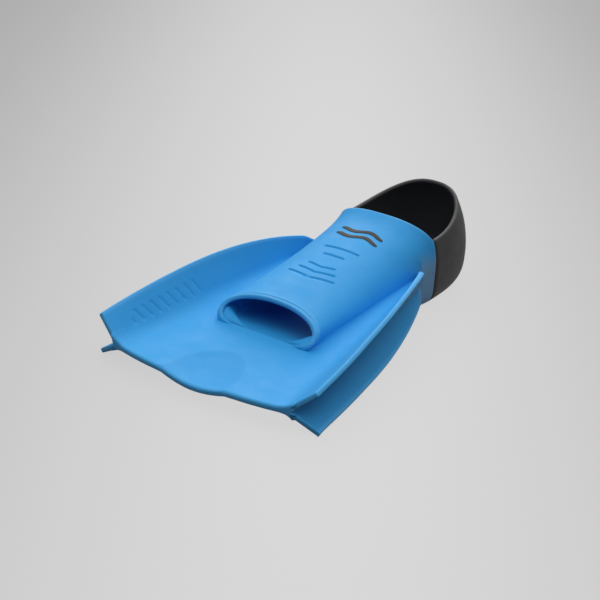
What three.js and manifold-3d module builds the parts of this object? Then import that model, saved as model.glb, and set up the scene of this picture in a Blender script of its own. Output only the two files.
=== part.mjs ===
// A short-blade swim fin of moulded silicone: a foot pocket with an open toe and a flexible heel cup,
// and a short blade whose sides fork into an upper and a lower rail. Millimetres; +X is the wearer's
// side, -Y the blade tip, +Y the heel, +Z up. Z = 0 is the floor under the heel.
import * as THREE from 'three';
import { mergeVertices } from 'three/addons/utils/BufferGeometryUtils.js';
import Module from 'manifold-3d';

const wasm = await Module();
wasm.setup();

// ---- Lengths along Y
const BLADE_LENGTH = 94.5;          // blade tip to the toe mouth
const POCKET_LENGTH = 176.4;        // toe mouth to the seam with the heel cup
const HEEL_LENGTH = 96.1;           // seam to the back of the heel cup
const TIP_SWEEP = 9;                // how far the tip's corners lie behind its middle
const UPPER_END_SWEEP = 4.7;        // how far the upper rail's free corner lies behind its root
const LOWER_END_SWEEP = 8.8;        // the same for the lower rail
const FLEX_LENGTH = 22;             // length of the flex zone, which starts at the mouth's lower lip
const RAIL_SETBACK = 26;            // rear end of the rails to the seam
const LAP_LENGTH = 21.5;            // length of the black flange bonded inside the pocket

// ---- Foot pocket
const WALL = 4;                     // wall of the pocket and the heel cup
const LAP_WALL = 1.7;               // thickness of the bonded flange
const GAP = 0.3;                    // between pieces that touch
const MOUTH_HALF_WIDTH = 45.6;
const ANKLE_HALF_WIDTH = 50;
const WIDEST_HEIGHT = 30;           // height of the pocket's widest line
const MOUTH_TOP = 47;               // top of the vamp over the toe mouth
const VAMP_SLOPE = 0.14;            // rise of the vamp's back at the mouth
const VAMP_CURVE = 0.00025;         // its curvature towards the ankle, per mm
const FLARE_LENGTH = 35;            // the pocket flares over this length in front of the seam
const FLARE_RISE = 3;               // by this much at the top
const FLARE_SPREAD = 1.5;           // and this much at each side
const MOUTH_TILT = 50;              // degrees of the mouth's plane from the horizontal
const SIDE_TOP = 58.6;              // height of the side walls at the seam
const ANKLE_RAKE = 0.765;           // forward lean of the vamp's rear edge, mm per mm of height
const LAP_TOP = 45;                 // height that the bonded flange reaches
const ARCH_POWERS = [2.2, 2, 2.1, 2.8];            // superellipse power of the vamp's arch, mouth to seam
const BOTTOM_POWER = 5.5;           // superellipse power of the pocket under its widest line
const RIM_RADIUS = 2.6;             // bead round the toe mouth

// ---- Heel cup
const HEEL_PLAN_POWER = 2.9;        // superellipse power of the heel's outline from above
const RIM_PLAN_POWER = 2.4;         // the same at its rim
const HEEL_BACK_POWER = 2.6;        // power of the rounding under its back
const HEEL_RIM_HEIGHT = 80;         // top of the rim at the back
const HEEL_RIM_POWER = 1.7;         // how late the rim rises behind the seam
const HEEL_LEAN = 0.05;             // forward lean of the back wall, as a share of its reach
const COLLAR_RADIUS = 2.3;          // bead along the heel cup's rim
const FLAT_DEPTH = 0.6;             // how much of the rounded bottom is flattened to stand on

// ---- Blade and rails: control ordinates of cubic curves from the blade's corner to the rails' end
const WEB_THICKNESS = 5.5;
const RAIL_THICKNESS = 4.2;
const RAIL_ROOT = 10;               // width of web that belongs to each rail
const TURN = 8;                     // reach of the rounded turn from web to rail
const FORK_HEIGHT = [15.8, 15.5, 27, 33.5];        // height of the line where a side forks
const FORK_REACH = [32.4, 24.8, 17.5, 3];          // its distance out from the pocket's side
const UPPER_REACH = [20.6, 26.4, 20.8, 0.8];       // free edge of the upper rail, out from the fork
const UPPER_RISE = [17.7, 27.9, 35.7, 9.4];        // and above it
const LOWER_REACH = [22.3, 24.1, 20.3, 0.8];       // free edge of the lower rail, out from the fork
const LOWER_DROP = [14.1, 9.8, 22, 9.6];           // and below it
const POCKET_BOTTOM = [17, 12.5, 2, 0];            // underside of the pocket, mouth to heel flat
const HEEL_FLAT_SETBACK = 27;       // front of the flat underside to the seam
const DISH_DEPTH = 5;               // dish in the middle of the blade tip
const DISH_HALF_WIDTH = 31;
const DISH_LENGTH = 58;

// ---- Wave marks inlaid in the vamp
const MARK_HALF_LENGTH = 21;
const MARK_WIDTH = 4.4;
const MARK_PITCH = 9;               // between the two waves
const MARK_SETBACK = 46;            // their middle to the seam
const MARK_SWING = 1.8;             // half the height of a wave
const MARK_DEPTH = 1.2;
const MARK_PROUD = 0.3;

// ---- Stations that follow from the lengths; the origin is at mid-length
const tipY = -(BLADE_LENGTH + POCKET_LENGTH + HEEL_LENGTH) / 2;
const mouthY = tipY + BLADE_LENGTH;
const seamY = mouthY + POCKET_LENGTH;
const cornerY = tipY + TIP_SWEEP;
const railEndY = seamY - RAIL_SETBACK;
const mouthRun = 1 / Math.tan(THREE.MathUtils.degToRad(MOUTH_TILT));
const lipY = mouthY - (WIDEST_HEIGHT - POCKET_BOTTOM[0]) * mouthRun;
const flexRearY = lipY - GAP;
const flexFrontY = flexRearY - FLEX_LENGTH;

const silicone = (color, roughness) => new THREE.MeshStandardMaterial({ color, roughness, metalness: 0 });
const BLUE = 0x2f97e6;
const BLACK = 0x2b2b2d;

// ---- Small helpers
const lerp = THREE.MathUtils.lerp;
const clamp = THREE.MathUtils.clamp;
const power = (value, exponent) => Math.sign(value) * Math.abs(value) ** exponent;

// Cubic Bernstein curve through control ordinates at equal steps from y0 to y1.
function ordinate([a, b, c, d], y, y0, y1) {
  const u = clamp((y - y0) / (y1 - y0), 0, 1);
  const v = 1 - u;
  return a * v ** 3 + 3 * b * v * v * u + 3 * c * v * u * u + d * u ** 3;
}

const alongRail = (values, y) => ordinate(values, y, cornerY, railEndY);

// ---- Outer shape of the foot pocket
const flare = (y) => clamp((y - seamY) / FLARE_LENGTH + 1, 0, 1) ** 2;
const archPower = (y) => ordinate(ARCH_POWERS, y, mouthY, seamY);
const bottomZ = (y) => ordinate(POCKET_BOTTOM, y, mouthY, seamY - HEEL_FLAT_SETBACK);

function halfWidth(y) {
  const share = clamp((y - mouthY) / POCKET_LENGTH, 0, 1);
  return lerp(MOUTH_HALF_WIDTH, ANKLE_HALF_WIDTH, share) + FLARE_SPREAD * flare(y);
}

function topZ(y) {
  const run = y - mouthY - (MOUTH_TOP - WIDEST_HEIGHT) * mouthRun;
  return MOUTH_TOP + VAMP_SLOPE * run + VAMP_CURVE * run * run + FLARE_RISE * flare(y);
}

// Superellipse power and reach of the section above or below its widest line.
const sectionPower = (y, upper) => (upper ? archPower(y) : BOTTOM_POWER);
const sectionReach = (y, upper) => (upper ? topZ(y) - WIDEST_HEIGHT : WIDEST_HEIGHT - bottomZ(y) + FLAT_DEPTH);

// Point of the pocket's section at y. The angle runs from the right side (0) over the top (90 degrees)
// to the left side and on under the foot; inset is the depth under the outer skin.
function section(y, angle, inset) {
  const upper = Math.sin(angle) >= 0;
  const exponent = 2 / sectionPower(y, upper);
  const x = (halfWidth(y) - inset) * power(Math.cos(angle), exponent);
  const z = WIDEST_HEIGHT + (sectionReach(y, upper) - inset) * power(Math.sin(angle), exponent);
  return [x, inset > 0 ? z : Math.max(z, bottomZ(y))];
}

// Half the pocket's width at height z.
function sideX(y, z) {
  const upper = z > WIDEST_HEIGHT;
  const exponent = sectionPower(y, upper);
  const share = Math.min(Math.abs(z - WIDEST_HEIGHT) / sectionReach(y, upper), 1);
  return halfWidth(y) * (1 - share ** exponent) ** (1 / exponent);
}

// Height of the vamp's skin over the point (x, y).
function vampZ(x, y) {
  const share = Math.abs(x) / halfWidth(y);
  const exponent = archPower(y);
  return WIDEST_HEIGHT + sectionReach(y, true) * (1 - share ** exponent) ** (1 / exponent);
}

// Angle at which the section passes a height just above or below its widest line.
function angleAtHeight(y, z) {
  const upper = z >= WIDEST_HEIGHT;
  const share = Math.abs(z - WIDEST_HEIGHT) / sectionReach(y, upper);
  return Math.sign(z - WIDEST_HEIGHT) * Math.asin(share ** (sectionPower(y, upper) / 2));
}

// ---- Closed bodies from grids
// A closed body between two surfaces over the same grid: faces on both, and strips round the edge.
function solidBetween(nu, nv, first, second) {
  const points = [];
  const index = [];
  const at = (layer, i, j) => layer * (nu + 1) * (nv + 1) + i * (nv + 1) + j;
  for (const surface of [first, second]) {
    for (let i = 0; i <= nu; i++) {
      for (let j = 0; j <= nv; j++) points.push(...surface(i / nu, j / nv));
    }
  }
  const quad = (a, b, c, d) => index.push(a, b, c, a, c, d);
  for (let i = 0; i < nu; i++) {
    for (let j = 0; j < nv; j++) {
      quad(at(0, i, j), at(0, i + 1, j), at(0, i + 1, j + 1), at(0, i, j + 1));
      quad(at(1, i, j), at(1, i, j + 1), at(1, i + 1, j + 1), at(1, i + 1, j));
    }
  }
  for (let i = 0; i < nu; i++) {
    quad(at(0, i, 0), at(1, i, 0), at(1, i + 1, 0), at(0, i + 1, 0));
    quad(at(0, i, nv), at(0, i + 1, nv), at(1, i + 1, nv), at(1, i, nv));
  }
  for (let j = 0; j < nv; j++) {
    quad(at(0, 0, j), at(0, 0, j + 1), at(1, 0, j + 1), at(1, 0, j));
    quad(at(0, nu, j), at(1, nu, j), at(1, nu, j + 1), at(0, nu, j + 1));
  }
  return closedBody(points, index);
}

// Merge shared vertices, drop triangles that have shrunk to a line, and face the body outwards.
function closedBody(points, index) {
  const loose = new THREE.BufferGeometry();
  loose.setAttribute('position', new THREE.Float32BufferAttribute(points, 3));
  loose.setIndex(index);
  const merged = mergeVertices(loose, 1e-3);
  const at = merged.getAttribute('position');
  const faces = [];
  let volume = 0;
  const [p, q, r] = [new THREE.Vector3(), new THREE.Vector3(), new THREE.Vector3()];
  for (let i = 0; i < merged.index.count; i += 3) {
    const [a, b, c] = [0, 1, 2].map((k) => merged.index.getX(i + k));
    if (a === b || b === c || c === a) continue;
    faces.push([a, b, c]);
    volume += p.fromBufferAttribute(at, a).dot(q.fromBufferAttribute(at, b).cross(r.fromBufferAttribute(at, c)));
  }
  merged.setIndex(faces.flatMap(([a, b, c]) => (volume > 0 ? [a, b, c] : [a, c, b])));
  return merged;
}

function toManifold(geometry) {
  return new wasm.Manifold(new wasm.Mesh({
    numProp: 3,
    vertProperties: new Float32Array(geometry.getAttribute('position').array),
    triVerts: new Uint32Array(geometry.index.array),
  }));
}

function fromManifold(solid) {
  const { vertProperties, triVerts } = solid.getMesh();
  const geometry = new THREE.BufferGeometry();
  geometry.setAttribute('position', new THREE.Float32BufferAttribute(vertProperties, 3));
  geometry.setIndex(new THREE.BufferAttribute(triVerts, 1));
  return geometry;
}

// A round bead along a path of points.
function bead(points, radius, steps) {
  const circle = new THREE.Shape().absarc(0, 0, radius, 0, 2 * Math.PI);
  const path = new THREE.CatmullRomCurve3(points.map((p) => new THREE.Vector3(...p)));
  const tube = new THREE.ExtrudeGeometry(circle, { steps, curveSegments: 5, extrudePath: path });
  tube.deleteAttribute('normal');
  tube.deleteAttribute('uv');
  const merged = mergeVertices(tube, 1e-3);
  return closedBody(merged.getAttribute('position').array, Array.from(merged.index.array));
}

// ---- Foot pocket: sole, vamp, toe rim, bonded flange
const mouthPlaneY = (z) => mouthY + (z - WIDEST_HEIGHT) * mouthRun;
const ankleEdgeY = (z) => seamY - GAP / 2 - Math.max(0, z - SIDE_TOP) * ANKLE_RAKE;

// Station where the line of the wall at one angle and depth meets an edge given as Y over Z.
function meetEdge(edge, angle, depth, start) {
  let y = start;
  for (let k = 0; k < 8; k++) y = edge(section(y, angle, depth)[1]);
  return y;
}

// Part of the pocket's wall between two angles, from front(z) to back(z). Its inner side steps outwards
// behind thinY, where the bonded flange lies under a thinner skin.
function pocketShell(startAngle, endAngle, front, back, nu, rows) {
  const thinY = seamY - LAP_LENGTH - GAP;
  const skinWall = WALL - LAP_WALL - GAP;
  const point = (u, v, depth) => {
    const angle = lerp(startAngle, endAngle, u);
    const row = Math.round(v * (rows + 2));
    const inset = row > rows && depth > 0 ? skinWall : depth;
    let y = thinY + GAP / 2;
    if (row <= rows) y = lerp(meetEdge(front, angle, depth, mouthY), thinY, row / rows);
    if (row === rows + 2) y = meetEdge(back, angle, inset, seamY);
    const [x, z] = section(y, angle, inset);
    return [x, y, z];
  };
  return solidBetween(nu, rows + 2, (u, v) => point(u, v, 0), (u, v) => point(u, v, WALL));
}

function sole() {
  const edge = angleAtHeight(seamY, WIDEST_HEIGHT - GAP / 2);
  return pocketShell(Math.PI - edge, 2 * Math.PI + edge, mouthPlaneY, ankleEdgeY, 26, 14);
}

// The vamp, with the recesses that hold the wave marks.
function vamp() {
  const edge = angleAtHeight(mouthY, WIDEST_HEIGHT + GAP / 2);
  const rimRoom = (RIM_RADIUS + GAP) / Math.sin(THREE.MathUtils.degToRad(MOUTH_TILT));
  const front = (z) => mouthPlaneY(z) + rimRoom;
  let solid = toManifold(pocketShell(edge, Math.PI - edge, front, ankleEdgeY, 26, 14));
  for (const sign of [-1, 1]) solid = solid.subtract(toManifold(waveSolid(sign, GAP, MARK_DEPTH + GAP, 3)));
  return fromManifold(solid);
}

function toeRim() {
  const points = [];
  const endRoom = RIM_RADIUS * Math.cos(THREE.MathUtils.degToRad(MOUTH_TILT));
  const start = angleAtHeight(mouthY, WIDEST_HEIGHT + GAP + endRoom);
  for (let i = 0; i <= 16; i++) {
    const angle = lerp(start, Math.PI - start, i / 16);
    const y = meetEdge(mouthPlaneY, angle, WALL / 2, mouthY);
    const [x, z] = section(y, angle, WALL / 2);
    points.push([x, y, z]);
  }
  return bead(points, RIM_RADIUS, 24);
}

// The heel cup's thin flange, bonded inside the rear of the pocket under the blue skin.
function lapFlange() {
  const rise = angleAtHeight(seamY, LAP_TOP);
  const skinWall = WALL - LAP_WALL;
  const point = (u, v, depth) => {
    const angle = lerp(-Math.PI - rise, rise, u);
    const y = lerp(seamY - LAP_LENGTH + GAP, seamY - GAP / 2, v);
    const [x, z] = section(y, angle, depth);
    return [x, y, z];
  };
  return solidBetween(30, 2, (u, v) => point(u, v, skinWall), (u, v) => point(u, v, WALL));
}

// A wave that runs across the vamp; grow widens it, depth and proud are its reach under and over the skin.
function waveSolid(sign, grow, depth, proud) {
  const middle = seamY - MARK_SETBACK + sign * MARK_PITCH / 2;
  const reach = MARK_HALF_LENGTH + grow;
  const point = (u, v, lift) => {
    const x = lerp(-reach, reach, u);
    const taper = Math.sqrt(1 - (0.98 * (2 * u - 1)) ** 8);
    const y = middle + MARK_SWING * Math.sin((x / MARK_HALF_LENGTH) * 1.5 * Math.PI)
      + (v - 0.5) * (MARK_WIDTH + 2 * grow) * taper;
    return [x, y, vampZ(x, y) + lift];
  };
  return solidBetween(20, 2, (u, v) => point(u, v, proud), (u, v) => point(u, v, -depth));
}

// ---- Heel cup
// Rim height round the heel: theta runs from the right end of the seam (0) round the back to the left.
const rimZ = (theta) => SIDE_TOP + (HEEL_RIM_HEIGHT - SIDE_TOP) * Math.sin(theta) ** HEEL_RIM_POWER;

// Point of the heel cup's wall: v runs from the middle of the seam's bottom out to the widest line (0.5)
// and up to the rim (1).
function heelPoint(theta, v, inset, rimDrop) {
  const width = halfWidth(seamY) - inset;
  const length = HEEL_LENGTH - GAP / 2 - inset;
  const plan = lerp(HEEL_PLAN_POWER, RIM_PLAN_POWER, Math.max(0, 2 * v - 1));
  const outX = power(Math.cos(theta), 2 / plan);
  const outY = power(Math.sin(theta), 2 / plan);
  const seam = seamY + GAP / 2;
  if (v < 0.5) {
    const exponent = 2 / lerp(BOTTOM_POWER, HEEL_BACK_POWER, Math.sin(theta) ** 2);
    const angle = (Math.PI / 2) * (1 - 2 * v);
    const out = Math.cos(angle) ** exponent;
    const z = WIDEST_HEIGHT - (WIDEST_HEIGHT + FLAT_DEPTH - inset) * Math.sin(angle) ** exponent;
    return [width * out * outX, seam + length * out * outY, inset > 0 ? z : Math.max(z, 0)];
  }
  const up = 2 * v - 1;
  const sideZ = WIDEST_HEIGHT + (SIDE_TOP - WIDEST_HEIGHT) * up;
  const out = sideX(seamY, sideZ) / halfWidth(seamY);
  const z = lerp(WIDEST_HEIGHT, rimZ(theta) - rimDrop, up);
  return [width * out * outX, seam + length * (1 - HEEL_LEAN * up * up) * outY, z];
}

function heelCup() {
  const drop = COLLAR_RADIUS + GAP;
  const surface = (inset) => (u, v) => heelPoint(Math.PI * u, v, inset, drop);
  return solidBetween(28, 16, surface(0), surface(WALL));
}

function heelCollar() {
  const points = [];
  const seamRoom = 0.02 * Math.PI;
  for (let i = 0; i <= 24; i++) {
    points.push(heelPoint(lerp(seamRoom, Math.PI - seamRoom, i / 24), 1, WALL / 2, 0));
  }
  return bead(points, COLLAR_RADIUS, 32);
}

// ---- Blade and rails
const forkZ = (y) => alongRail(FORK_HEIGHT, y);
const forkX = (y) => halfWidth(Math.max(y, mouthY)) + alongRail(FORK_REACH, y);
const upperEdge = (y) => [forkX(y) + alongRail(UPPER_REACH, y), forkZ(y) + alongRail(UPPER_RISE, y)];
const lowerEdge = (y) => [forkX(y) + alongRail(LOWER_REACH, y), forkZ(y) - alongRail(LOWER_DROP, y)];

// The dish pressed into the middle of the tip: deepest at the edge, fading out in a half oval.
function dish(x, y) {
  const r = Math.hypot(x / DISH_HALF_WIDTH, (y - tipY) / DISH_LENGTH);
  return r < 1 ? DISH_DEPTH * (0.5 + 0.5 * Math.cos(Math.PI * r)) : 0;
}

// Flat web between the rails, from frontY (or the curved tip) to backY.
function web(frontY, backY, margin, nu, nv) {
  const point = (u, v, side) => {
    const share = 2 * u - 1;
    const front = frontY ?? tipY + TIP_SWEEP * Math.abs(share) ** 2.5;
    const y = lerp(front, backY, v);
    const x = share * (forkX(y) - RAIL_ROOT - margin);
    return [x, y, forkZ(y) - dish(x, y) + side * WEB_THICKNESS / 2];
  };
  return solidBetween(nu, nv, (u, v) => point(u, v, 1), (u, v) => point(u, v, -1));
}

// Radius-like reach of the rounded turn at the fork.
const turnReach = (y, rootX) => Math.min(TURN, 0.8 * (forkX(y) - rootX));

// Middle line of an upper rail's section as points of (x, z): root, a rounded turn at the fork, free edge.
function upperLine(y, rootX) {
  const fork = new THREE.Vector2(forkX(y), forkZ(y));
  const root = new THREE.Vector2(rootX, forkZ(y));
  const edge = new THREE.Vector2(...upperEdge(y));
  const reach = Math.min(turnReach(y, rootX), 0.5 * edge.distanceTo(fork));
  const turnIn = fork.clone().lerp(root, reach / root.distanceTo(fork));
  const turnOut = fork.clone().lerp(edge, reach / edge.distanceTo(fork));
  const turn = new THREE.QuadraticBezierCurve(turnIn, fork, turnOut);
  return [root, ...turn.getPoints(4), edge];
}

// The same for a lower rail, which starts under the turn: room is its clearance there.
function lowerLine(y, rootX, room) {
  const edge = new THREE.Vector2(...lowerEdge(y));
  const root = new THREE.Vector2(forkX(y), forkZ(y) - WEB_THICKNESS - room + 0.19 * turnReach(y, rootX));
  return [root, root.clone().lerp(edge, 0.5), edge];
}

// A rail: its middle line thickened and carried from its front end to backY. The front end is at frontY,
// or follows the swept end of the tip.
function rail(side, line, sweep, frontY, backY, nv) {
  const count = line(backY).length - 1;
  const point = (u, v, face) => {
    const k = Math.round(u * count);
    const y = lerp(frontY ?? cornerY + sweep * u, backY, v);
    const points = line(y);
    const along = points[Math.min(k + 1, count)].clone().sub(points[Math.max(k - 1, 0)]).normalize();
    const half = lerp(WEB_THICKNESS, RAIL_THICKNESS, Math.min(1, 1.5 * u)) / 2;
    const x = points[k].x - along.y * half * face;
    return [side * x, y, points[k].y + along.x * half * face];
  };
  return solidBetween(count, nv, (u, v) => point(u, v, 1), (u, v) => point(u, v, -1));
}

// The part of a rail that belongs to the blade: room is its clearance to the web and the other rail, or
// its overlap with them when negative.
function bladeRail(side, upper, frontY, backY, room, nv) {
  const rootX = (y) => forkX(y) - RAIL_ROOT + Math.min(room, 0);
  const line = upper ? (y) => upperLine(y, rootX(y)) : (y) => lowerLine(y, rootX(y), room);
  return rail(side, line, upper ? UPPER_END_SWEEP : LOWER_END_SWEEP, frontY, backY, nv);
}

// The rear part of a rail grows out of the pocket's side.
function pocketRail(side, upper, nv) {
  const rootX = (y) => {
    const z = forkZ(y);
    return Math.max(sideX(y, z + WEB_THICKNESS / 2), sideX(y, z - WEB_THICKNESS / 2)) + GAP;
  };
  const line = upper ? (y) => upperLine(y, rootX(y)) : (y) => lowerLine(y, rootX(y), GAP);
  return rail(side, line, 0, flexRearY + GAP, railEndY, nv);
}

// The zone where the blade bends: a slice through the web and all four rails, in one piece.
function flexZone() {
  const weld = -3;
  let solid = toManifold(web(flexFrontY, flexRearY, 0, 4, 3));
  for (const side of [-1, 1]) {
    for (const upper of [true, false]) {
      solid = solid.add(toManifold(bladeRail(side, upper, flexFrontY, flexRearY, weld, 3)));
    }
  }
  return fromManifold(solid);
}

// ---- The fin
const fin = new THREE.Group();
fin.name = 'swim_fin';

function addPiece(name, geometry, color, roughness = 0.42) {
  const mesh = new THREE.Mesh(geometry, silicone(color, roughness));
  mesh.name = name;
  fin.add(mesh);
}

addPiece('sole', sole(), BLUE);
addPiece('vamp', vamp(), BLUE);
addPiece('toe_rim', toeRim(), BLUE);
addPiece('lap_flange', lapFlange(), BLACK);
addPiece('wave_mark_front', waveSolid(-1, 0, MARK_DEPTH, MARK_PROUD), BLACK);
addPiece('wave_mark_rear', waveSolid(1, 0, MARK_DEPTH, MARK_PROUD), BLACK);
addPiece('flex_zone', flexZone(), BLUE);
addPiece('blade_panel', web(null, flexFrontY - GAP, GAP, 18, 12), BLUE);
for (const [side, hand] of [[-1, 'left'], [1, 'right']]) {
  for (const [upper, level] of [[true, 'upper'], [false, 'lower']]) {
    addPiece(`blade_rail_${level}_${hand}`, bladeRail(side, upper, null, flexFrontY - GAP, GAP, 6), BLUE);
    addPiece(`pocket_rail_${level}_${hand}`, pocketRail(side, upper, 14), BLUE);
  }
}
addPiece('heel_cup', heelCup(), BLACK, 0.5);
addPiece('heel_collar', heelCollar(), BLACK, 0.5);

export default fin;
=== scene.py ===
# %% [markdown]
# # A short-blade swim fin in moulded silicone
#
# The real fin is two silicone mouldings bonded together: a blue one (foot pocket, blade and forked side
# rails) and a black heel cup. This lesson loads the CAD model as a frame that nobody moves, lays smooth
# skins over it that are worked out with numpy, gives them their materials, and sets up light and camera.

import bmesh
import bpy
import numpy as np
from mathutils import Matrix, Vector


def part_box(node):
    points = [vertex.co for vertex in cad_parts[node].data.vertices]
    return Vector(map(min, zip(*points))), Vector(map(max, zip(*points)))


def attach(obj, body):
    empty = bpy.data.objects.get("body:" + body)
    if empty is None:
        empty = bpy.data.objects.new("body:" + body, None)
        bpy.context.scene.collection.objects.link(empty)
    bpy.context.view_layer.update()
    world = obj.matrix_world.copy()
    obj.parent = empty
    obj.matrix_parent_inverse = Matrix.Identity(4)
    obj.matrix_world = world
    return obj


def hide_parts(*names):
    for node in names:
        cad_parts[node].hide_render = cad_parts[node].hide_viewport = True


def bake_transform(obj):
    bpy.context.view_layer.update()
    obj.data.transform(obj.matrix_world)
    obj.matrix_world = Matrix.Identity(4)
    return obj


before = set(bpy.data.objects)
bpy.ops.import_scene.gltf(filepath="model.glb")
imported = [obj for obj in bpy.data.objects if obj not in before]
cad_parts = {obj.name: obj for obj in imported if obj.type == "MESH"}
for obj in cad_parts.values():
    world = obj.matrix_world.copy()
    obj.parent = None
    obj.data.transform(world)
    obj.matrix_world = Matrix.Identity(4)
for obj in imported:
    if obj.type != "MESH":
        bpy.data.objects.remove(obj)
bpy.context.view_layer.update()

# %% [markdown]
# ## The fin's sizes
#
# The skins are worked out in millimetres from the same sizes as the CAD model, and turned into metres
# when a mesh is made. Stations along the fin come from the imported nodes, so that the skins sit where
# the frame is. Curves along the fin are cubic Bernstein curves: the first and last of their four numbers
# are the values at the two ends, and the two between pull the curve towards themselves.

# %% Stations along the fin, in millimetres
MM = 0.001
low_tip, high_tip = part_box("blade_panel")
low_heel, high_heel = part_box("heel_cup")
TIP = low_tip.y / MM                       # blade tip
GAP = 0.15                                 # between two nodes that meet
SEAM = low_heel.y / MM - GAP               # seam between the pocket and the heel cup
HEEL_LENGTH = high_heel.y / MM - SEAM
MOUTH = SEAM - 176.4                       # toe mouth, at the height of the widest line
LIP = MOUTH - 5.6                          # the web ends under the lower lip of the toe mouth
CORNER = TIP + 9.0                         # front corners of the blade
RAIL_END = SEAM - 26.0                     # rear end of the rails
WIDEST = 30.0                              # height of the pocket's widest line
WALL = 4.0                                 # thickness of the pocket and of the heel cup
FLAT = 0.6                                 # the bottom is flattened by this much
FLOOR_WALL = 0.85                          # share of the wall's thickness that the bottom keeps
MOUTH_TOP = 47.0                           # height of the vamp's ridge at the mouth
SIDE_TOP = 58.6                            # height of the side walls at the seam
HEEL_TOP = 80.0                            # height of the heel cup's rim at the back
MOUTH_RUN = 1 / np.tan(np.radians(50.0))   # slope of the mouth's plane
FLARE_LENGTH, FLARE_OUT, FLARE_UP = 35.0, 1.5, 3.0     # the pocket opens out in front of the seam
print("tip, mouth, seam", TIP, MOUTH, SEAM)

# %% Curves and small helpers


def smooth(value, start, end):
    """0 before start, 1 after end, and 3t^2 - 2t^3 in between."""
    t = np.clip((value - start) / (end - start), 0, 1)
    return t * t * (3 - 2 * t)


def power(value, exponent):
    """Power of the size of a value, with its sign kept."""
    return np.sign(value) * np.abs(value) ** exponent


def bernstein(values, y, start, end):
    """Cubic curve a(1-u)^3 + 3b(1-u)^2 u + 3c(1-u)u^2 + du^3 over u = (y - start)/(end - start)."""
    u = np.clip((y - start) / (end - start), 0, 1)
    a, b, c, d = values
    return a * (1 - u) ** 3 + 3 * b * (1 - u) ** 2 * u + 3 * c * (1 - u) * u**2 + d * u**3


def flare(y):
    """How far the pocket has opened out: the square of the share of the flare's length."""
    return np.clip((y - SEAM) / FLARE_LENGTH + 1, 0, 1) ** 2


def half_width(y):
    """Half the pocket's width: straight from the mouth to the ankle, plus the flare."""
    return 45.6 + 4.4 * np.clip((y - MOUTH) / (SEAM - MOUTH), 0, 1) + FLARE_OUT * flare(y)


def top_height(y):
    """Height of the vamp's ridge: a shallow parabola from the mouth, plus the flare."""
    run = y - MOUTH - (MOUTH_TOP - WIDEST) * MOUTH_RUN
    return MOUTH_TOP + 0.14 * run + 0.00025 * run**2 + FLARE_UP * flare(y)


def arch_power(y):
    """Roundness of the section over its widest line: 2 is an ellipse, and more is boxier."""
    return bernstein((2.2, 2.0, 2.1, 2.8), y, MOUTH, SEAM)


def bottom_height(y):
    """Height of the sole's underside, which comes down to the floor in front of the seam."""
    return bernstein((17.0, 12.5, 2.0, 0.0), y, MOUTH, SEAM - 27.0)


def bottom_power(y):
    """Roundness of the section under its widest line: nearly an ellipse at the mouth, boxier behind."""
    return 2.6 + 2.9 * smooth(y, MOUTH - 4, MOUTH + 45)


def half_section(y, upper):
    """Power and height of the section's upper or lower half."""
    roundness = np.where(upper, arch_power(y), bottom_power(y))
    return roundness, np.where(upper, top_height(y) - WIDEST, WIDEST - bottom_height(y) + FLAT)


def section(y, angle, depth):
    """Point of the pocket's wall: x = (w - depth) cos^(2/n), z = 30 + (h - depth) sin^(2/n), with half
    the width w, and the height h and power n of the half that the angle is in."""
    roundness, height = half_section(y, np.sin(angle) >= 0)
    x = (half_width(y) - depth) * power(np.cos(angle), 2 / roundness)
    z = WIDEST + (height - depth) * power(np.sin(angle), 2 / roundness)
    return x, np.maximum(z, bottom_height(y) + FLOOR_WALL * np.maximum(depth, 0))


def side_x(y, z):
    """Half the pocket's width at height z, from the same superellipse: w (1 - (z/h)^n)^(1/n)."""
    roundness, height = half_section(y, z > WIDEST)
    share = np.minimum(np.abs(z - WIDEST) / height, 1)
    return half_width(y) * (1 - share**roundness) ** (1 / roundness)


# %% Making a mesh from grids


def grid_faces(rows, columns, wrap_rows=False, wrap_columns=False, first=0):
    """Quads of a grid of points stored row by row; a wrapped side joins its last line to its first."""
    i = np.arange(rows if wrap_rows else rows - 1)[:, None]
    j = np.arange(columns if wrap_columns else columns - 1)[None, :]
    i2, j2 = (i + 1) % rows, (j + 1) % columns
    quads = np.stack([i * columns + j, i * columns + j2, i2 * columns + j2, i2 * columns + j], -1)
    return quads.reshape(-1, 4) + first


def strip_faces(first, last):
    """Closes a row of points on itself: each point from the first on is paired with one from the last
    back, with quads between the pairs and a triangle at the turn when the number of points is odd."""
    count = last - first + 1
    k = np.arange(count // 2 - 1)
    quads = np.stack([first + k, first + k + 1, last - k - 1, last - k], -1)
    middle = first + count // 2
    turn = np.array([[middle - 1, middle, middle + 1]]) if count % 2 else np.zeros((0, 3), int)
    return [quads, turn]


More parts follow.
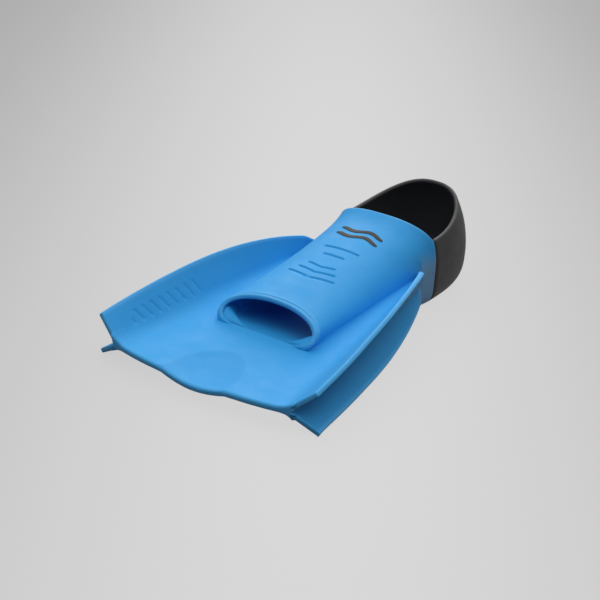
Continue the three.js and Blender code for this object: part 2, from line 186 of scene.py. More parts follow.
def skin(name, points, faces, material, attributes=None):
    """A mesh in metres from points in millimetres: joins equal points, then turns faces outwards."""
    mesh = bpy.data.meshes.new(name)
    points = np.asarray(points, float).reshape(-1, 3) * MM
    mesh.from_pydata(points.tolist(), [], [f for part in faces for f in part.tolist()])
    for key, values in (attributes or {}).items():
        layer = mesh.attributes.new(key, "FLOAT", "POINT")
        layer.data.foreach_set("value", np.asarray(values, np.float32).ravel())
    work = bmesh.new()
    work.from_mesh(mesh)
    bmesh.ops.remove_doubles(work, verts=work.verts, dist=2e-6)
    bmesh.ops.dissolve_degenerate(work, edges=work.edges, dist=1e-7)
    bmesh.ops.recalc_face_normals(work, faces=work.faces)
    if work.calc_volume(signed=True) < 0:
        bmesh.ops.reverse_faces(work, faces=work.faces)
    open_edges = sum(not e.is_manifold for e in work.edges)
    work.to_mesh(mesh)
    work.free()
    mesh.polygons.foreach_set("use_smooth", np.ones(len(mesh.polygons), bool))
    mesh.materials.append(material)
    obj = bpy.data.objects.new(name, mesh)
    bpy.context.scene.collection.objects.link(obj)
    print(name, len(mesh.vertices), "points", len(mesh.polygons), "faces", open_edges, "open edges")
    return obj


# %% [markdown]
# ## Materials
#
# Liquid silicone rubber, injection moulded, is what the whole fin is made of. Its colour is mixed through,
# a little light gets into it, and a mould with a fine spark-eroded texture leaves it satin: a soft, broad
# highlight and no mirror. Edges are painted paler: partly as wear, since they are rubbed most, and partly as
# painted light, for the glow of light through them and a highlight on them. An image texture could give all
# this, but noise on the object's own coordinates has no seams.

# %% Colours and nodes


def linear(hex_colour):
    """sRGB hex to linear RGBA: c/12.92 up to 0.04045, and ((c + 0.055)/1.055)^2.4 above."""
    c = np.array([int(hex_colour[i : i + 2], 16) for i in (1, 3, 5)]) / 255
    c = np.where(c <= 0.04045, c / 12.92, ((c + 0.055) / 1.055) ** 2.4)
    return (*c.tolist(), 1.0)


def add(tree, kind, settings=None, **links):
    """Adds one node: settings go to its properties or, by socket name, to its inputs; links name the
    input (with _ for a space, or a number after an i) and give the output that feeds it."""
    node = tree.nodes.new(kind)
    for key, value in (settings or {}).items():
        if isinstance(key, int) or key in node.inputs:
            node.inputs[key].default_value = value
        else:
            setattr(node, key, value)
    for key, source in links.items():
        socket = node.inputs[int(key[1:]) if key[1:].isdigit() else key.replace("_", " ")]
        tree.links.new(source, socket)
    return node


def new_material(name, **settings):
    """A material with one Principled shader, and its uniform values set on the shader's own sockets."""
    material = bpy.data.materials.new(name)
    material.use_nodes = True
    tree = material.node_tree
    shader = tree.nodes["Principled BSDF"]
    for key, value in settings.items():
        shader.inputs[key.replace("_", " ")].default_value = value
    return material, tree, shader


# %% [markdown]
# ### Blue and black moulded silicone
#
# Silicone has an IOR of about 1.41. Two noises vary the colour: cloudy pigment over about 40 mm, and fine
# specks under a millimetre. The mould's grain is about 0.1 mm, too fine to show here, so it is drawn
# at 0.7 mm. A noise of scale 1000/d on coordinates in metres has features d millimetres wide. The skins
# carry masks in attributes: "edge" rises to 1 on rims, and on the blue skins "lap" says how much of the
# heel cup's black flange shows through the thin blue skin over it.

# %% Moulded silicone
CLOUD, SWIRL, SPECK = 40.0, 1000 / 60, 1000 / 1400     # widths of the noises' features, in millimetres
SATIN = 0.05                                           # how far the roughness strays to either side


def moulded_silicone(name, body, pale, deep, roughness, grain=SPECK, subsurface=0.0, under=None):
    """Silicone rubber: pigment clouds, specks, paler edges, and the mould's grain as bump."""
    material, tree, shader = new_material(
        name, IOR=1.41, Subsurface_Weight=subsurface, Subsurface_Scale=0.004,
        Sheen_Weight=0.05, Sheen_Roughness=0.5, Specular_IOR_Level=0.4,
    )
    shader.inputs["Subsurface Radius"].default_value = (0.3, 0.6, 1.0)
    place = add(tree, "ShaderNodeTexCoord").outputs["Object"]
    clouds = add(tree, "ShaderNodeTexNoise", {"Scale": 1000 / CLOUD, "Detail": 3.0}, Vector=place)
    specks = add(tree, "ShaderNodeTexNoise", {"Scale": 1000 / SPECK, "Detail": 2.0}, Vector=place)
    grains = add(tree, "ShaderNodeTexNoise", {"Scale": 1000 / grain, "Detail": 3.0}, Vector=place)
    swirl = add(tree, "ShaderNodeTexNoise", {"Scale": 1000 / SWIRL, "Detail": 2.0}, Vector=place)

    # Base colour: the body's colour with deeper clouds, then pale specks, pale rims and the flange.
    cloudy = add(tree, "ShaderNodeMapRange", {1: 0.3, 2: 0.7, 3: 0.0, 4: 0.35}, Value=clouds.outputs[0])
    speckled = add(tree, "ShaderNodeMapRange", {1: 0.35, 2: 0.65, 3: 0.0, 4: 0.10}, Value=specks.outputs[0])
    # Rims are painted paler by the edge mask: partly wear, and partly painted light (glow through thin edges
    # and a highlight).
    edge = add(tree, "ShaderNodeAttribute", {"attribute_name": "edge"}).outputs["Fac"]
    wear_and_painted_light = add(tree, "ShaderNodeMath", {"operation": "MULTIPLY", 1: 0.55}, i0=edge)
    colour = add(
        tree, "ShaderNodeMix", {"data_type": "RGBA", 6: linear(body), 7: linear(deep)},
        i0=cloudy.outputs[0],
    ).outputs[2]
    layers = [(speckled.outputs[0], pale), (wear_and_painted_light.outputs[0], pale)]
    if under:
        lap = add(tree, "ShaderNodeAttribute", {"attribute_name": "lap"}).outputs["Fac"]
        layers.append((lap, under))
    for share, paint in layers:
        colour = add(
            tree, "ShaderNodeMix", {"data_type": "RGBA", 7: linear(paint)}, i0=share, i6=colour,
        ).outputs[2]
    tree.links.new(colour, shader.inputs["Base Color"])

    satin = add(
        tree, "ShaderNodeMapRange", {1: 0.3, 2: 0.7, 3: roughness - SATIN, 4: roughness + SATIN},
        Value=swirl.outputs[0],
    )
    tree.links.new(satin.outputs[0], shader.inputs["Roughness"])
    relief = add(
        tree, "ShaderNodeBump", {"Strength": 0.35, "Distance": 0.00012}, Height=grains.outputs[0],
    )
    waves = add(
        tree, "ShaderNodeBump", {"Strength": 0.5, "Distance": 0.0006}, Height=swirl.outputs[0],
        Normal=relief.outputs[0],
    )
    tree.links.new(waves.outputs[0], shader.inputs["Normal"])
    return material


blue_silicone = moulded_silicone(
    "moulded_blue_silicone", "#1f9adf", "#58b4ee", "#158dd2", 0.62, subsurface=0.05, under="#7fb0dc"
)
black_silicone = moulded_silicone("moulded_black_silicone", "#3a3a3b", "#505051", "#323233", 0.62)
inlay_silicone = moulded_silicone(
    "inlaid_black_silicone", "#1c1c1e", "#333436", "#161618", 0.6, grain=SPECK / 1.4
)
print("materials", [m.name for m in bpy.data.materials])

# %% [markdown]
# ## The foot pocket
#
# On the real fin this is a tube with a wall of 4 mm, open at the toes and at the ankle. Its skin is one
# closed grid: round the foot in one direction, and in the other along the outside from the toe mouth to
# the ankle, round the edge there, back along the inside and round the bead of the mouth. A box-modelled
# tube would do too, but here each edge follows a formula, so the wall is even everywhere. The patterns
# cut in the vamp are real grooves: the outer skin is pushed in where a groove runs. The grid is finest
# there, and coarser on the sole and the sides.

# %% Edges of the pocket
INSTEP_RUN = 0.765                         # how far the ankle's edge leans forward per millimetre of height
BEAD = 2.2                                 # how far the bead of the mouth stands forward
BEAD_FADE = 8.0                            # length over which the bead runs out into the wall
ROUND = 1.1                                # radius of the edges at the ankle
CURL, CURL_LENGTH = 1.5, 20.0              # the ankle's edge curls outwards over the instep
FLANGE = 21.5                              # how far the black flange runs forward of the seam


def mouth_line(z):
    """The tilted plane of the toe mouth, cut off upright where the lip meets the blade."""
    return np.maximum(MOUTH + (z - WIDEST) * MOUTH_RUN, LIP - 0.4)


def ankle_line(z):
    """The rear edge: upright at the seam, then leaning forward over the instep."""
    return SEAM - GAP - np.maximum(0, z - SIDE_TOP) * INSTEP_RUN


def meet(edge, angle, depth, start):
    """Where the wall at each angle meets an edge that is given as y over z: repeated substitution."""
    y = np.full_like(angle, start)
    for _ in range(12):
        y = edge(section(y, angle, depth)[1])
    return y


# %% Grooves of the vamp
GROOVE_DEPTH, GROOVE_HALF = 1.1, 1.3
FIRST_CHEVRON, CHEVRON_PITCH = MOUTH + 53.0, 9.0
CHEVRON_REACHES = (22.0, 17.5, 13.0)       # half widths of the nested chevrons, the front one first
BARS = ((MOUTH + 91.0, 10.0), (MOUTH + 103.0, 17.0))   # place along the fin and half width of each bar


def band(value, half, soft=0.45):
    """1 inside a strip of that half width, 0 outside, with a soft flank."""
    return 1 - smooth(np.abs(value), half - soft, half + soft)


def vamp_grooves(x, y):
    """Depth of the relief: three nested chevrons, one pitch apart, and two bars behind them."""
    depth = np.zeros_like(x)
    for k, reach in enumerate(CHEVRON_REACHES):
        line = y - (FIRST_CHEVRON + CHEVRON_PITCH * k) - 0.25 * np.abs(x)
        depth = np.maximum(depth, band(line, GROOVE_HALF) * band(x, reach, 0.8))
    for middle, reach in BARS:
        depth = np.maximum(depth, band(y - middle, GROOVE_HALF) * band(x, reach, 0.8))
    return GROOVE_DEPTH * depth


# %% Skin of the foot pocket
VAMP_ANGLES = np.radians(np.linspace(52, 128, 130))            # close together, for the grooves
SOLE_ANGLES = np.radians(np.linspace(128, 412, 112))[1:-1]     # the rest of the way round


def wall_rows():
    """Line round the wall's section, as three numbers a row: its share of the way from the mouth to the
    ankle, a shift along the fin, and its place in the wall, 0 at the outer skin and 1 at the inner."""
    bead = np.linspace(0.5, -0.5, 13) * np.pi
    behind_bead = np.array([1.5, 3.0, 4.5, 6.0, BEAD_FADE])
    outside = np.concatenate([
        np.linspace(0, 0.24, 22)[1:], np.linspace(0.24, 0.78, 180)[1:], np.linspace(0.78, 1, 26)[1:-1],
    ])
    inside = np.linspace(1, 0, 50)[1:-1]
    corner = np.linspace(0, 0.5, 5) * np.pi
    back, sunk = ROUND * (1 - np.sin(corner)), ROUND * (1 - np.cos(corner)) / WALL
    share = np.concatenate([0 * bead, 0 * behind_bead, outside, np.ones(10), inside, 0 * behind_bead])
    shift = np.concatenate([
        -BEAD * power(np.cos(bead), 0.75), behind_bead, BEAD_FADE - (BEAD_FADE + ROUND) * outside,
        -back, -back[::-1], BEAD_FADE - (BEAD_FADE + ROUND) * inside, behind_bead[::-1],
    ])
    place = np.concatenate([
        0.5 - 0.5 * power(np.sin(bead), 0.75), 0 * behind_bead, 0 * outside,
        sunk, 1 - sunk[::-1], 1 + 0 * inside, 1 + 0 * behind_bead,
    ])
    return share[:, None], shift[:, None], place[:, None]


def pocket_skin():
    """Closed grid over (line round the wall's section, angle round the foot). A point's depth in the
    wall goes from the outer to the inner skin with its place, less the curl of the ankle's edge."""
    angle = np.concatenate([VAMP_ANGLES, SOLE_ANGLES])
    front = meet(mouth_line, angle, WALL / 2, MOUTH)
    back = meet(ankle_line, angle, WALL / 2, SEAM)
    share, shift, place = wall_rows()
    y = (1 - share) * front + share * back + shift
    # The rim swells a little all round, and its lower lip stands up over the blade and the floor.
    near = np.where(share == 0, 1 - smooth(shift, 0, BEAD_FADE), 0)
    lower = smooth(-np.sin(angle), -0.2, 0.5)
    outer = near * (-0.1 - 0.3 * lower)
    inner = WALL + near * (0.1 + 1.1 * lower)
    to_edge = (1 - share) * (back - front) - shift
    past = np.clip(1 - to_edge / CURL_LENGTH, 0, 1)
    curl = CURL * past**2 * smooth(np.sin(angle), 0.35, 0.8)
    depth = outer + (inner - outer) * place - curl
    x, z = section(y, angle, depth)
    grooved = np.where((place == 0) & (share > 0) & (np.sin(angle) > 0), vamp_grooves(x, y), 0)
    x, z = section(y, angle, depth + grooved)
    # The rims of the mouth and the ankle are painted paler from 24 to 30 mm up: partly wear, and partly
    # painted light, a highlight and glow through the thin edge.
    rims = np.where(share == 0, 1 - smooth(np.abs(shift), 1.5, 5.0), 0) + np.where(share == 1, 0.8, 0)
    edge = rims * smooth(z, 24, 30)
    over_flange = smooth(y, SEAM - FLANGE - 1, SEAM - FLANGE + 1)
    lap = 0.85 * over_flange * (1 - smooth(z, 36, 56)) * (place < 0.5)
    faces = grid_faces(*y.shape, wrap_rows=True, wrap_columns=True)
    points = np.stack([x, y, z], -1)
    return skin("foot_pocket_skin", points, [faces], blue_silicone, {"edge": edge, "lap": lap})


pocket = pocket_skin()
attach(pocket, "foot_pocket")
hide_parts("sole", "vamp", "toe_rim")

# %% [markdown]
# ## The blade and its forked rails
#
# The blade is a thin web whose sides fork into an upper and a lower rail, like ">-<" from the front. The
# skin is a profile of one half, carried along the fin: web, hollow turn, upper rail, notch, lower
# rail, and back under the web. Behind the toe mouth the same profile starts inside the pocket's wall and
# leaves it with a hollow fillet, as a mould does. The mirrored half is joined to it in the middle. A
# subdivided cage could give the same shape, but a profile keeps thickness and corners even all the way,
# and gives each point its share of the way out along the rail, which the masks and the strokes use.

# %% Curves of the fork
DISH_HALF_WIDTH, DISH_LENGTH, DISH_DEPTH = 30.0, 54.0, 5.0


def along_rail(values, y):
    """Cubic curve over the rails' whole length."""
    return bernstein(values, y, CORNER, RAIL_END)


def fork_lines(y):
    """Fork point and the free edges of both rails, each as (x, z) over y. Towards the rear end they
    sink into the middle of the pocket's wall."""
    fade = smooth(y, RAIL_END - 16, RAIL_END + 7)
    fork_x = half_width(np.maximum(y, MOUTH)) + along_rail((32.4, 24.8, 17.5, 3.0), y) - 5.3 * fade
    fork_z = along_rail((15.8, 15.5, 27.0, 33.5), y)
    upper = np.stack([
        fork_x + along_rail((20.6, 26.4, 20.8, 0.8), y),
        fork_z + along_rail((17.7, 27.9, 35.7, 9.4), y) * (1 - 0.7 * fade),
    ], -1)
    lower = np.stack([
        fork_x + along_rail((22.3, 24.1, 20.3, 0.8), y),
        fork_z - along_rail((14.1, 9.8, 22.0, 9.6), y) * (1 - 0.6 * fade),
    ], -1)
    return np.stack([fork_x, fork_z], -1), upper, lower


def unit(v):
    """A vector, or each of a row of vectors, brought to length 1."""
    return v / np.linalg.norm(v, axis=-1, keepdims=True)


def left_of(v):
    """A direction in (x, z) turned a quarter turn to the left."""
    return np.stack([-v[..., 1], v[..., 0]], -1)


def crossing(p, u, q, v):
    """Where the lines p + s u and q + t v cross."""
    gap = q - p
    s = (gap[..., 0] * v[..., 1] - gap[..., 1] * v[..., 0]) / (u[..., 0] * v[..., 1] - u[..., 1] * v[..., 0])
    return p + s[..., None] * u


def straight(p, q, count):
    """Points from p to q, without p and q themselves."""
    t = np.linspace(0, 1, count + 2)[1:-1][None, :, None]
    return p[:, None] * (1 - t) + q[:, None] * t


def hollow(p, corner, q, count):
    """A turn from p to q that is drawn towards the corner: a quadratic Bezier curve."""
    t = np.linspace(0, 1, count)[None, :, None]
    return (1 - t) ** 2 * p[:, None] + 2 * t * (1 - t) * corner[:, None] + t**2 * q[:, None]


def dish(x, y):
    """Depth of the half oval pressed into the tip: d (1 - r^2)^1.15, with r = 1 on the oval."""
    r = np.hypot(x / DISH_HALF_WIDTH, (y - TIP) / DISH_LENGTH)
    return DISH_DEPTH * np.maximum(1 - r**2, 0) ** 1.15


# %% Half thicknesses over y
END_ROUND = 1.9                            # length over which the front edge rounds off
WEB, RAIL_FOOT, RAIL_EDGE = 2.75, 2.55, 1.95           # half thicknesses


def thicknesses(y):
    """Half thickness of the web, of the rails at the fork, and of the rails at their free edge."""
    front = 0.30 + 0.70 * np.sqrt(1 - (1 - np.clip((y - CORNER) / END_ROUND, 0, 1)) ** 2)
    taper = 1 - 0.6 * smooth(y, RAIL_END - 5, RAIL_END + 6)
    edge = RAIL_EDGE + 0.45 * smooth(y, RAIL_END - 70, RAIL_END - 15)
    return WEB * front, RAIL_FOOT * front * taper, edge * front * taper


# %% Profile of one half
ROOT_COUNT, WEB_COUNT, TURN_COUNT, RAIL_COUNT, TIP_COUNT, LOW_COUNT = 26, 8, 8, 34, 11, 14


def half_profile(y):
    """Half the section at each station, as a loop of (x, z) points, with the number of points in each
    part of it. Faces are the middle lines pushed out by half the thickness; they cross at the three
    corners of the fork, which are then rounded."""
    fork, upper, lower = fork_lines(y)
    web, thick, thin = thicknesses(y)
    up, down = unit(upper - fork), unit(lower - fork)
    up_in, down_out = left_of(up), left_of(down)

    def face(side, toe, line):
        """A face's foot at the fork and its direction outwards."""
        foot = fork + side * line * thick[:, None]
        return foot, unit(toe + side * line * thin[:, None] - foot)

    a0, a_run = face(1, upper, up_in)
    b0, b_run = face(-1, upper, up_in)
    c0, c_run = face(1, lower, down_out)
    d0, d_run = face(-1, lower, down_out)
    flat = np.zeros_like(fork) + (1.0, 0.0)
    top = fork + web[:, None] * (0, 1)
    under = fork - web[:, None] * (0, 1)
    valley = crossing(top, flat, a0, a_run)
    notch = crossing(b0, b_run, c0, c_run)
    armpit = crossing(under, flat, d0, d_run)
    wall_top, wall_under = side_x(y, top[:, 1]), side_x(y, under[:, 1])
    room = np.maximum(valley[:, 0] - wall_top, 0.5)
    reach_a = np.minimum(9.0, 0.45 * room)
    reach_d = np.minimum(8.0, 0.45 * room)

    def turn(corner, reach, run):
        """A rounded corner between the web and a rail's face."""
        return hollow(corner - reach[:, None] * flat, corner, corner + reach[:, None] * run, TURN_COUNT)

    length = np.linalg.norm(upper - fork, axis=1)
    arc_a = turn(valley, np.minimum(reach_a, 0.4 * length), a_run)
    reach_b = np.minimum(3.0, 0.3 * length)[:, None]
    arc_b = hollow(notch + reach_b * b_run, notch, notch + reach_b * c_run, TURN_COUNT)
    arc_c = turn(armpit, np.minimum(0.7 * reach_a, 0.4 * length), d_run)[:, ::-1]

    def round_end(point, line, out):
        """A free edge: half a superellipse, nearly flat on top and with rounded corners."""
        phi = np.linspace(0, np.pi, TIP_COUNT)[None, :, None]
        over, beyond = power(np.cos(phi), 0.6), 0.8 * power(np.sin(phi), 0.6)
        return point[:, None] + thin[:, None, None] * (over * line[:, None] + beyond * out[:, None])

    tip_up = round_end(upper, up_in, up)
    tip_low = round_end(lower, down_out, down)

    def root(wall, level, reach, sign):
        """From the middle of the blade, or with a hollow fillet from inside the pocket's wall, to the web."""
        outer = np.stack([wall + reach_d, level], -1)
        middle = np.stack([np.zeros_like(wall), level], -1)
        inner = np.stack([np.maximum(wall - 2.6, 0.2), level + sign * reach], -1)
        start = np.stack([np.maximum(side_x(y, level + sign * reach) - 0.35, 0.3), level + sign * reach], -1)
        corner = np.stack([np.maximum(wall - 0.2, 0.4), level], -1)
        open_web = np.concatenate([middle[:, None], straight(middle, outer, ROOT_COUNT)], 1)
        fillet = np.concatenate([inner[:, None], hollow(start, corner, outer, ROOT_COUNT + 1)[:, :-1]], 1)
        return np.where((y < LIP)[:, None, None], open_web, fillet), outer

    mouth_height = WIDEST + (y - MOUTH) / MOUTH_RUN
    rise = np.clip(np.minimum(reach_d, 0.8 * (mouth_height - top[:, 1])), 0.3, 9)
    drop = np.clip(np.minimum(0.8 * reach_d, 0.6 * (under[:, 1] - bottom_height(y))), 0.3, 9)
    root_top, out_top = root(wall_top, top[:, 1], rise, 1)
    root_under, out_under = root(wall_under, under[:, 1], drop, -1)
    parts = [
        root_top, out_top[:, None], straight(out_top, arc_a[:, 0], WEB_COUNT), arc_a,
        straight(arc_a[:, -1], tip_up[:, 0], RAIL_COUNT), tip_up,
        straight(tip_up[:, -1], arc_b[:, 0], RAIL_COUNT), arc_b,
        straight(arc_b[:, -1], tip_low[:, 0], LOW_COUNT), tip_low,
        straight(tip_low[:, -1], arc_c[:, 0], LOW_COUNT), arc_c,
        straight(arc_c[:, -1], out_under, WEB_COUNT), out_under[:, None], root_under[:, ::-1],
    ]
    loop = np.concatenate(parts, 1)
    counts = [p.shape[1] for p in parts]
    return loop, counts, (fork, upper, lower, up_in)


# %% Grooves on the left upper rail
ROW_START, ROW_END = MOUTH - 61.0, MOUTH + 13.0
STROKE_PITCH, STROKE_DEPTH = 9.0, 0.55


def rail_grooves(y, share):
    """A row of slanted strokes pressed in the rail's inner face, one pitch apart along the fin."""
    row = smooth(y, ROW_START, ROW_START + 1) * (1 - smooth(y, ROW_END - 1, ROW_END))
    phase = (y + STROKE_PITCH * share - ROW_START) % STROKE_PITCH - STROKE_PITCH / 2
    return STROKE_DEPTH * row * band(phase, 1.1, 0.4) * band(share - 0.5, 0.17, 0.03)


# %% Skin of the blade and rails


def end_cap(row, counts, columns):
    """Closes the loop of one station: strips across the web and both rails, and one face at the fork."""
    ends = np.cumsum(counts)
    web_end, a_end, up_end, b_end = ends[2] - 1, ends[3], ends[6], ends[7]
    low_end, c_end = ends[10], ends[11]
    k = np.arange(web_end)
    web = np.stack([k, k + 1, columns - 2 - k, columns - 1 - k], -1)
    parts = [web, *strip_faces(a_end, up_end - 1), *strip_faces(b_end, low_end - 1)]
    hub = np.concatenate([
        np.arange(web_end, a_end + 1), np.arange(up_end - 1, b_end + 1), np.arange(low_end - 1, c_end + 1),
    ])
    return [part + row * columns for part in [*parts, hub[None, :]]]


def blade_skin():
    """Both halves of the profile at every station, joined in the middle, with closed ends. Near the
    tip each station bows forward in the middle of the web and leans back along the rails."""
    stations = np.sort(np.concatenate([
        CORNER + END_ROUND * (1 - np.cos(np.linspace(0, 0.5, 6) * np.pi)),
        np.linspace(CORNER + 3.2, ROW_START - 2, 13), np.linspace(ROW_START - 1, ROW_END, 88),
        np.linspace(ROW_END + 2, ROW_END + 20, 9), np.linspace(ROW_END + 22, RAIL_END + 6.5, 52),
        [LIP - 0.02, LIP + 0.02],
    ]))
    loop, counts, (fork, upper, lower, up_in) = half_profile(stations)
    rows, columns = loop.shape[:2]
    ends = np.cumsum(counts)
    index = np.arange(columns)
    on_upper = (index >= ends[3]) & (index < ends[6])
    on_lower = (index >= ends[7]) & (index < ends[10])

    def out_share(foot, tip):
        run = tip - foot
        return np.clip(((loop - foot[:, None]) * run[:, None]).sum(-1) / (run**2).sum(-1)[:, None], 0, 1)

    share = out_share(fork, upper) * on_upper + out_share(fork, lower) * on_lower
    on_web = ~(on_upper | on_lower)
    across = np.clip(loop[..., 0] / fork[:, :1], 0, 1)
    sweep = 4.7 * share * on_upper + 8.8 * share * on_lower - (CORNER - TIP) * (1 - across**2.5) * on_web
    fade = (1 - np.clip((stations - CORNER) / 28.0, 0, 1)) ** 2
    y = stations[:, None] + sweep * fade[:, None]
    z = loop[..., 1] - dish(loop[..., 0], y) * on_web
    # The web swells where the lip of the toe mouth and its two corners stand on it.
    away = np.hypot(np.maximum(loop[..., 0] - 38.0, 0), np.minimum(y - LIP, 0))
    z = z + 1.3 * (1 - smooth(away, 0.5, 7.5)) * (1 - smooth(y, LIP, LIP + 16)) * (index < ends[2])
    # The rails' free edges and the blade's front edge are painted paler: partly wear, and partly painted
    # light through the thin edge.
    edge = np.maximum(smooth(share, 0.90, 0.99), 0.8 * (1 - smooth(stations, CORNER, CORNER + 3))[:, None])
    points, faces = [], []
    for side in (1, -1):
        x, height = side * loop[..., 0], z.copy()
        if side < 0:
            inner = (index >= ends[3]) & (index < ends[4])
            cut = rail_grooves(y, share) * inner
            x = x + cut * up_in[:, :1]
            height = height - cut * up_in[:, 1:]
        first = len(points) * rows * columns
        points.append(np.stack([x, y, height], -1))
        # The flange behind the toe mouth: the loop's two ends face each other inside the wall.
        tail = np.arange(np.searchsorted(stations, LIP) - 1, rows - 1) * columns
        flange = np.stack([tail, tail + columns, tail + 2 * columns - 1, tail + columns - 1], -1)
        faces += [grid_faces(rows, columns, first=first), flange + first]
        for row in (0, rows - 1):
            faces += [part + first for part in end_cap(row, counts, columns)]
    edges = np.stack([edge, edge])
    masks = {"edge": edges, "lap": 0 * edges}
    return skin("blade_and_rails_skin", np.stack(points), faces, blue_silicone, masks)


blade = blade_skin()
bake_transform(blade)
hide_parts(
    "flex_zone", "blade_panel",
    *[f"{part}_rail_{level}_{hand}" for part in ("blade", "pocket") for level in ("upper", "lower")
      for hand in ("left", "right")],
)

# %% [markdown]
# ## The heel cup
#
# The black cup is moulded onto the pocket and stretches round the heel. Its wall is a grid over the angle
# round the heel and a line that runs from the middle of the seam's bottom out and up the outside, over
# the bead of the rim, and down the inside. A revolved bowl wouldn't do, because the plan is a rounded
# square and the rim climbs towards the back.

# %% Skin of the heel cup
RIM_RADIUS = 2.3                           # the bead of the rim is a little thicker than the wall


def heel_wall(theta, v, depth, lift):
    """A point of the wall: v under 0.5 is the rounded bottom, v over 0.5 the wall up to the rim. The
    plan is half a superellipse, and the bottom is a quarter of one that gets rounder to the back."""
    width, length = half_width(SEAM) - depth, HEEL_LENGTH - GAP - depth
    plan = 2.9 - 0.5 * np.maximum(0, 2 * v - 1)
    out_x, out_y = power(np.cos(theta), 2 / plan), power(np.sin(theta), 2 / plan)
    exponent = 2 / (5.5 - 2.9 * np.sin(theta) ** 2)
    turn = np.pi / 2 * (1 - 2 * np.minimum(v, 0.5))
    low_out = np.cos(turn) ** exponent
    low_z = WIDEST - (WIDEST + FLAT - depth) * np.sin(turn) ** exponent
    low_z = np.maximum(low_z, FLOOR_WALL * depth)
    up = np.maximum(2 * v - 1, 0)
    high_out = side_x(SEAM, WIDEST + (SIDE_TOP - WIDEST) * up) / half_width(SEAM)
    rim = SIDE_TOP + (HEEL_TOP - SIDE_TOP) * np.abs(np.sin(theta)) ** 1.7
    high_z = WIDEST + (rim - WIDEST) * up
    out = np.where(v < 0.5, low_out, high_out)
    lean = 1 - 0.05 * up**2
    z = np.where(v < 0.5, low_z, high_z) + lift
    return np.stack([width * out * out_x, SEAM + GAP + length * lean * out * out_y, z + 0 * out_x], -1)


def heel_skin():
    """Closed grid: rows go round the heel, columns up the outside, over the rim and down the inside."""
    theta = np.pi * np.linspace(0, 1, 150)[:, None]
    v = np.linspace(0, 1, 70)
    turn = np.linspace(0, np.pi, 15)
    line_v = np.concatenate([v[:-1], np.ones(15), v[-2::-1]])[None, :]
    near = smooth(v[:-1], 0.88, 1.0) * (RIM_RADIUS - WALL / 2)
    depth = np.concatenate([-near, WALL / 2 - RIM_RADIUS * np.cos(turn), WALL + near[::-1]])[None, :]
    lift = np.concatenate([0 * near, RIM_RADIUS * np.sin(turn), 0 * near])[None, :]
    points = heel_wall(theta, line_v, depth, lift)
    rows, columns = points.shape[:2]
    caps = [part + row * columns for row in (0, rows - 1) for part in strip_faces(0, columns - 1)]
    # The top of the rim's bead is painted paler: partly wear, and partly a painted highlight.
    edge = np.repeat(smooth(lift, 0.3, 2.2), rows, 0)
    return skin("heel_cup_skin", points, [grid_faces(rows, columns), *caps], black_silicone, {"edge": edge})


heel = heel_skin()
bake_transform(heel)
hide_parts("heel_cup", "heel_collar")

# %% [markdown]
# ## The flange's lining and the inlaid mark
#
# The cup's thin flange is bonded to the pocket in front of the seam, so a black band shows round the
# inside of the ankle. A boolean cut could lay it in the wall, but a thin band that sinks into the wall at
# its borders looks the same and stays one clean grid. The mark on the instep is black silicone laid in
# the blue: two plain waves, with rounded shoulders.

# %% Lining of the ankle
LINING_RISE = 0.42                         # angle by which the lining goes up past the widest line
PROUD, BURIED = 0.4, 1.2                   # the lining stands over the wall and is rooted in it


def lining_skin():
    """A thin band over the pocket's inner skin, under the foot and up both sides. It gets shorter
    towards its two upper ends, and there it sinks into the wall."""
    from_end = LINING_RISE + np.pi / 2 - np.abs(SOLE_ANGLES - 1.5 * np.pi)
    angle, from_end = SOLE_ANGLES[from_end > 0][:, None], from_end[from_end > 0][:, None]
    back = meet(ankle_line, angle, WALL, SEAM)
    step = np.array([0.0, 0.3, 0.7, 1.0])
    run = np.concatenate([1.5 * step - FLANGE, np.linspace(-19, -1.5, 9), [-0.6, -0.2, -0.2, -FLANGE]])
    over = np.concatenate([PROUD * step**0.5, np.full(9, PROUD), [0.3, 0, -BURIED, -BURIED]])
    shown = np.maximum(smooth(from_end, 0, 0.12), 0.02)
    depth = WALL - BURIED + (over + BURIED) * shown
    shortened = 1 - 0.8 * smooth(section(back, angle, WALL)[1], WIDEST - 10, WIDEST + 19)
    y = back + run * shortened
    x, z = section(y, angle, depth)
    rows, columns = y.shape
    ends = [np.arange(columns)[None, :] + row * columns for row in (0, rows - 1)]
    faces = [grid_faces(rows, columns, wrap_columns=True), *ends]
    return skin("heel_flange_lining", np.stack([x, y, z], -1), faces, black_silicone, {"edge": 0 * y})


# %% Waves of the mark
WAVE_REACH, WAVE_HEIGHT, WAVE_HALF = 21.0, 1.8, 2.2    # half width across, swing, and half its thickness
WAVE_MIDDLE, WAVE_APART = SEAM - 46.0, 4.5


def wave_skin(name, sign):
    """A wave across the vamp, y = middle + h sin(1.5 pi x/reach), with a rounded cross-section."""
    u = np.sin(np.linspace(-0.5, 0.5, 90) * np.pi)[:, None]
    turn = np.linspace(0, 2 * np.pi, 29)[None, :-1]
    x = WAVE_REACH * u + 0 * turn
    half = WAVE_HALF * (1 - np.abs(u) ** 7) ** 0.5
    y = WAVE_MIDDLE + WAVE_APART * sign + WAVE_HEIGHT * np.sin(x / WAVE_REACH * 1.5 * np.pi)
    y = y + half * power(np.cos(turn), 0.35)
    roundness, height = half_section(y, True)
    vamp = WIDEST + height * (1 - (np.abs(x) / half_width(y)) ** roundness) ** (1 / roundness)
    z = vamp + np.where(turn < np.pi, 0.45, 1.2) * power(np.sin(turn), 0.5)
    # The wave's shoulders, but not its crest, are painted paler: a painted highlight on the rounded flanks.
    shoulder_highlight = smooth(np.sin(turn), 0.2, 0.6) * (1 - smooth(np.sin(turn), 0.7, 0.98))
    faces = [grid_faces(*x.shape, wrap_columns=True)]
    return skin(name, np.stack([x, y, z], -1), faces, inlay_silicone, {"edge": 0.6 * shoulder_highlight + 0 * x})


